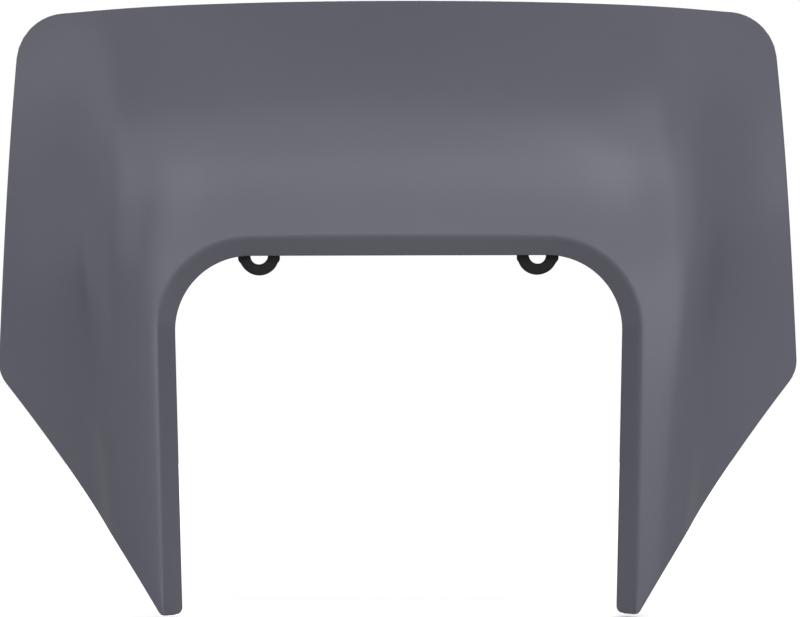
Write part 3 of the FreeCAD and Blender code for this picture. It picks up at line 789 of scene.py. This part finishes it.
def span(nodes, links, value, low, high):
    """Map the middle of a value's range to a range of its own."""
    step = nodes.new("ShaderNodeMapRange")
    step.inputs["From Min"].default_value = SPAN_LOW
    step.inputs["From Max"].default_value = SPAN_HIGH
    step.inputs["To Min"].default_value = low
    step.inputs["To Max"].default_value = high
    links.new(value, step.inputs["Value"])
    return step.outputs["Result"]


def blend_colours(nodes, links, share, first, second):
    """Blend two colours, each given as three numbers or as a node's output."""
    mix = nodes.new("ShaderNodeMix")
    mix.data_type = "RGBA"
    links.new(share, mix.inputs[MIX_SHARE])
    for socket, colour in ((mix.inputs[COLOUR_A], first), (mix.inputs[COLOUR_B], second)):
        if isinstance(colour, tuple):
            socket.default_value = (*colour, 1)
        else:
            links.new(colour, socket)
    return mix.outputs[COLOUR_OUT]


def fine_bump(nodes, links, surface, height, strength):
    """Raise and sink the surface by a fine pattern."""
    bump = nodes.new("ShaderNodeBump")
    bump.inputs["Strength"].default_value = strength
    bump.inputs["Distance"].default_value = BUMP_HEIGHT
    links.new(height, bump.inputs["Height"])
    links.new(bump.outputs["Normal"], surface.inputs["Normal"])


print("noise is used from", SPAN_LOW, "to", SPAN_HIGH, "of its range")

# %% Grey moulded plastic
GREY, PALE_GREY, PAINTED_SHADE_GREY = (0.111, 0.111, 0.140), (0.119, 0.119, 0.149), (0.02, 0.02, 0.026)
nodes, links, surface, coords = shader(mask_plastic)
drift = span(nodes, links, noise(nodes, links, coords, 9.0, 3.0), 0.0, 1.0)
grey = blend_colours(nodes, links, drift, GREY, PALE_GREY)
# Painted shade: the marked free edges are blended towards a near-black grey in the base colour.
edges = nodes.new("ShaderNodeAttribute")
edges.attribute_name = "edge_shade"
dark = span(nodes, links, edges.outputs["Fac"], 0.0, 0.6)
links.new(blend_colours(nodes, links, dark, grey, PAINTED_SHADE_GREY), surface.inputs["Base Color"])
matt = span(nodes, links, noise(nodes, links, coords, 60.0, 2.0), 0.22, 0.24)
links.new(matt, surface.inputs["Roughness"])
surface.inputs["Specular IOR Level"].default_value = 0.385
fine_bump(nodes, links, surface, noise(nodes, links, coords, 1400.0, 2.0), 0.12)
print("mask plastic:", len(nodes), "nodes")

# %% [markdown]
# The grommets are black rubber: darker and softer in its shine, with a fine uneven skin. The same steps
# as for the plastic give it, with a faster drift because the pieces are small.

# %% Black rubber
BLACK, DUSTY_BLACK = (0.007, 0.007, 0.010), (0.011, 0.011, 0.015)
nodes, links, surface, coords = shader(grommet_rubber)
bloom = span(nodes, links, noise(nodes, links, coords, 180.0, 3.0), 0.0, 1.0)
black = blend_colours(nodes, links, bloom, BLACK, DUSTY_BLACK)
links.new(black, surface.inputs["Base Color"])
matt = span(nodes, links, noise(nodes, links, coords, 500.0, 2.0), 0.55, 0.7)
links.new(matt, surface.inputs["Roughness"])
fine_bump(nodes, links, surface, noise(nodes, links, coords, 1800.0, 3.0), 0.15)
print("grommet rubber:", len(nodes), "nodes")

# %% [markdown]
# The photograph shows the mask square from the front, on pure white. The floor and the surround are
# white to the camera. The mask itself meets a duller floor and a faint surround, or it would be washed
# out from below and behind. The Light Path node tells the two kinds of ray apart.

# %% Floor
FLOOR_SIDE, FLOOR_NEAR, FLOOR_FAR, FLOOR_GAP = 2.5, -4.0, 2.6, 0.001
FLOOR_BOUNCE, FLOOR_SHINE = (0.68, 0.68, 0.68), (0.18, 0.18, 0.18)
FLOOR_PALE, FLOOR_PALER = (0.93, 0.93, 0.93), (0.95, 0.95, 0.95)
floor_z = cad_box[0].z - FLOOR_GAP
floor_plan = [
    (-FLOOR_SIDE, FLOOR_NEAR), (FLOOR_SIDE, FLOOR_NEAR), (FLOOR_SIDE, FLOOR_FAR), (-FLOOR_SIDE, FLOOR_FAR),
]
floor_mesh = plain_mesh("floor", [(x, y, floor_z) for x, y in floor_plan], [(0, 1, 2, 3)])
floor = bpy.data.objects.new("floor", floor_mesh)
bpy.context.scene.collection.objects.link(floor)
pale_floor = bpy.data.materials.new("pale_floor")
nodes, links, surface, coords = shader(pale_floor)
speck = span(nodes, links, noise(nodes, links, coords, 3.0, 2.0), 0.0, 1.0)
pale = blend_colours(nodes, links, speck, FLOOR_PALE, FLOOR_PALER)
sight = nodes.new("ShaderNodeLightPath")
bounce = blend_colours(nodes, links, sight.outputs["Is Glossy Ray"], FLOOR_BOUNCE, FLOOR_SHINE)
seen_floor = blend_colours(nodes, links, sight.outputs["Is Camera Ray"], bounce, pale)
links.new(seen_floor, surface.inputs["Base Color"])
surface.inputs["Roughness"].default_value = 0.9
floor_mesh.materials.append(pale_floor)
print("floor at", round(floor_z, 4), "m")

# %% Surround
FAINT, WHITE = 0.06, 1.0
world = bpy.data.worlds.new("studio")
world.use_nodes = True
sky = world.node_tree.nodes["Background"]
sky.inputs["Color"].default_value = (1, 1, 1, 1)
seen = world.node_tree.nodes.new("ShaderNodeLightPath")
strength = world.node_tree.nodes.new("ShaderNodeMapRange")
strength.inputs["To Min"].default_value = FAINT
strength.inputs["To Max"].default_value = WHITE
world.node_tree.links.new(seen.outputs["Is Camera Ray"], strength.inputs["Value"])
world.node_tree.links.new(strength.outputs["Result"], sky.inputs["Strength"])
bpy.context.scene.world = world
print("surround:", WHITE, "to the camera,", FAINT, "to the mask")

# %% [markdown]
# The photograph's light is soft and comes mostly from the front and the right. Each soft box below is
# placed by two angles as seen from the mask, and the next two angles are its width and height. The
# strengths were fitted to the photograph's greys, then corrected by comparing about thirty places. The
# last box stands behind and lights the floor.

# %% Soft boxes
BOX_DISTANCE = 3.0


def soft_panel(name, aim, sideways, above, wide, high, radiance):
    """A soft box seen from its aim at two angles, with its width and height as angles too."""
    turn, lift = math.radians(sideways), math.radians(above)
    lamp = bpy.data.lights.new(name, "AREA")
    lamp.shape = "RECTANGLE"
    lamp.size = 2 * BOX_DISTANCE * slope(wide / 2)
    lamp.size_y = 2 * BOX_DISTANCE * slope(high / 2)
    lamp.energy = math.pi * lamp.size * lamp.size_y * radiance
    holder = bpy.data.objects.new(name, lamp)
    level = math.cos(lift)
    towards = Vector((math.sin(turn) * level, -math.cos(turn) * level, math.sin(lift)))
    holder.location = Vector(aim) + towards * BOX_DISTANCE
    holder.rotation_euler = (-towards).to_track_quat("-Z", "Y").to_euler()
    bpy.context.scene.collection.objects.link(holder)


MASK, FLOOR_BEHIND = (0, 0, 0), (0, 1.2, 0)
soft_panel("low_front_box", MASK, -6, 6, 36, 20, 1.2)
soft_panel("low_right_box", MASK, 38, 4, 52, 20, 2.05)
soft_panel("front_box", MASK, 19, 30, 70, 30, 1.14)
soft_panel("left_strip", MASK, -24, 26, 14, 36, 1.25)
soft_panel("left_front_box", MASK, -50, 26, 20, 24, 0.9)
soft_panel("right_front_box", MASK, 66, 26, 26, 26, 0.65)
soft_panel("high_left_box", MASK, -18, 47, 74, 22, 0.92)
soft_panel("high_right_box", MASK, 38, 48, 34, 22, 1.1)
soft_panel("top_left_box", MASK, -62, 58, 64, 40, 0.32)
soft_panel("top_right_box", MASK, 62, 58, 64, 40, 0.22)
soft_panel("left_wall", MASK, -95, 10, 50, 20, 0.5)
soft_panel("left_high_wall", MASK, -95, 34, 50, 26, 0.62)
soft_panel("right_wall", MASK, 92, 30, 60, 50, 0.2)
soft_panel("floor_box", FLOOR_BEHIND, 180, 50, 66, 66, 4.0)
bpy.context.scene.view_settings.view_transform = "Standard"

# %% [markdown]
# The camera stands two metres in front of the mask, turned by less than half a degree. These numbers
# come from laying the CAD outline over the photograph's. The angles are in radians, the lengths in
# millimetres.

# %% Camera
PIXELS_PER_MM, DISTANCE, IMAGE_WIDTH, SENSOR = 2.7748, 2000.0, 800, 36.0
TURN, TILT, ROLL = 0.0078, -0.0069, 0.0027
AIM, ASIDE, BELOW = Vector((0, 0, -18.0)), 0.61, 1.10
back_turn = (Matrix.Rotation(TILT, 3, "X") @ Matrix.Rotation(TURN, 3, "Z")).transposed()
right = back_turn @ Vector((math.cos(ROLL), 0, -math.sin(ROLL)))
upward = back_turn @ Vector((math.sin(ROLL), 0, math.cos(ROLL)))
backward = back_turn @ Vector((0, -1, 0))
lens = bpy.data.cameras.new("front_camera")
lens.sensor_width = SENSOR
lens.lens = PIXELS_PER_MM * DISTANCE * SENSOR / IMAGE_WIDTH
lens.clip_start, lens.clip_end = 0.01, 50.0
camera = bpy.data.objects.new("front_camera", lens)
facing = Matrix((right, upward, backward)).transposed().to_4x4()
stand = AIM + back_turn @ Vector((ASIDE, -DISTANCE, -BELOW))
camera.matrix_world = Matrix.Translation(stand * MM) @ facing
bpy.context.scene.collection.objects.link(camera)
bpy.context.scene.camera = camera
print("lens:", round(lens.lens, 1), "mm, camera at", [round(c, 3) for c in camera.location])
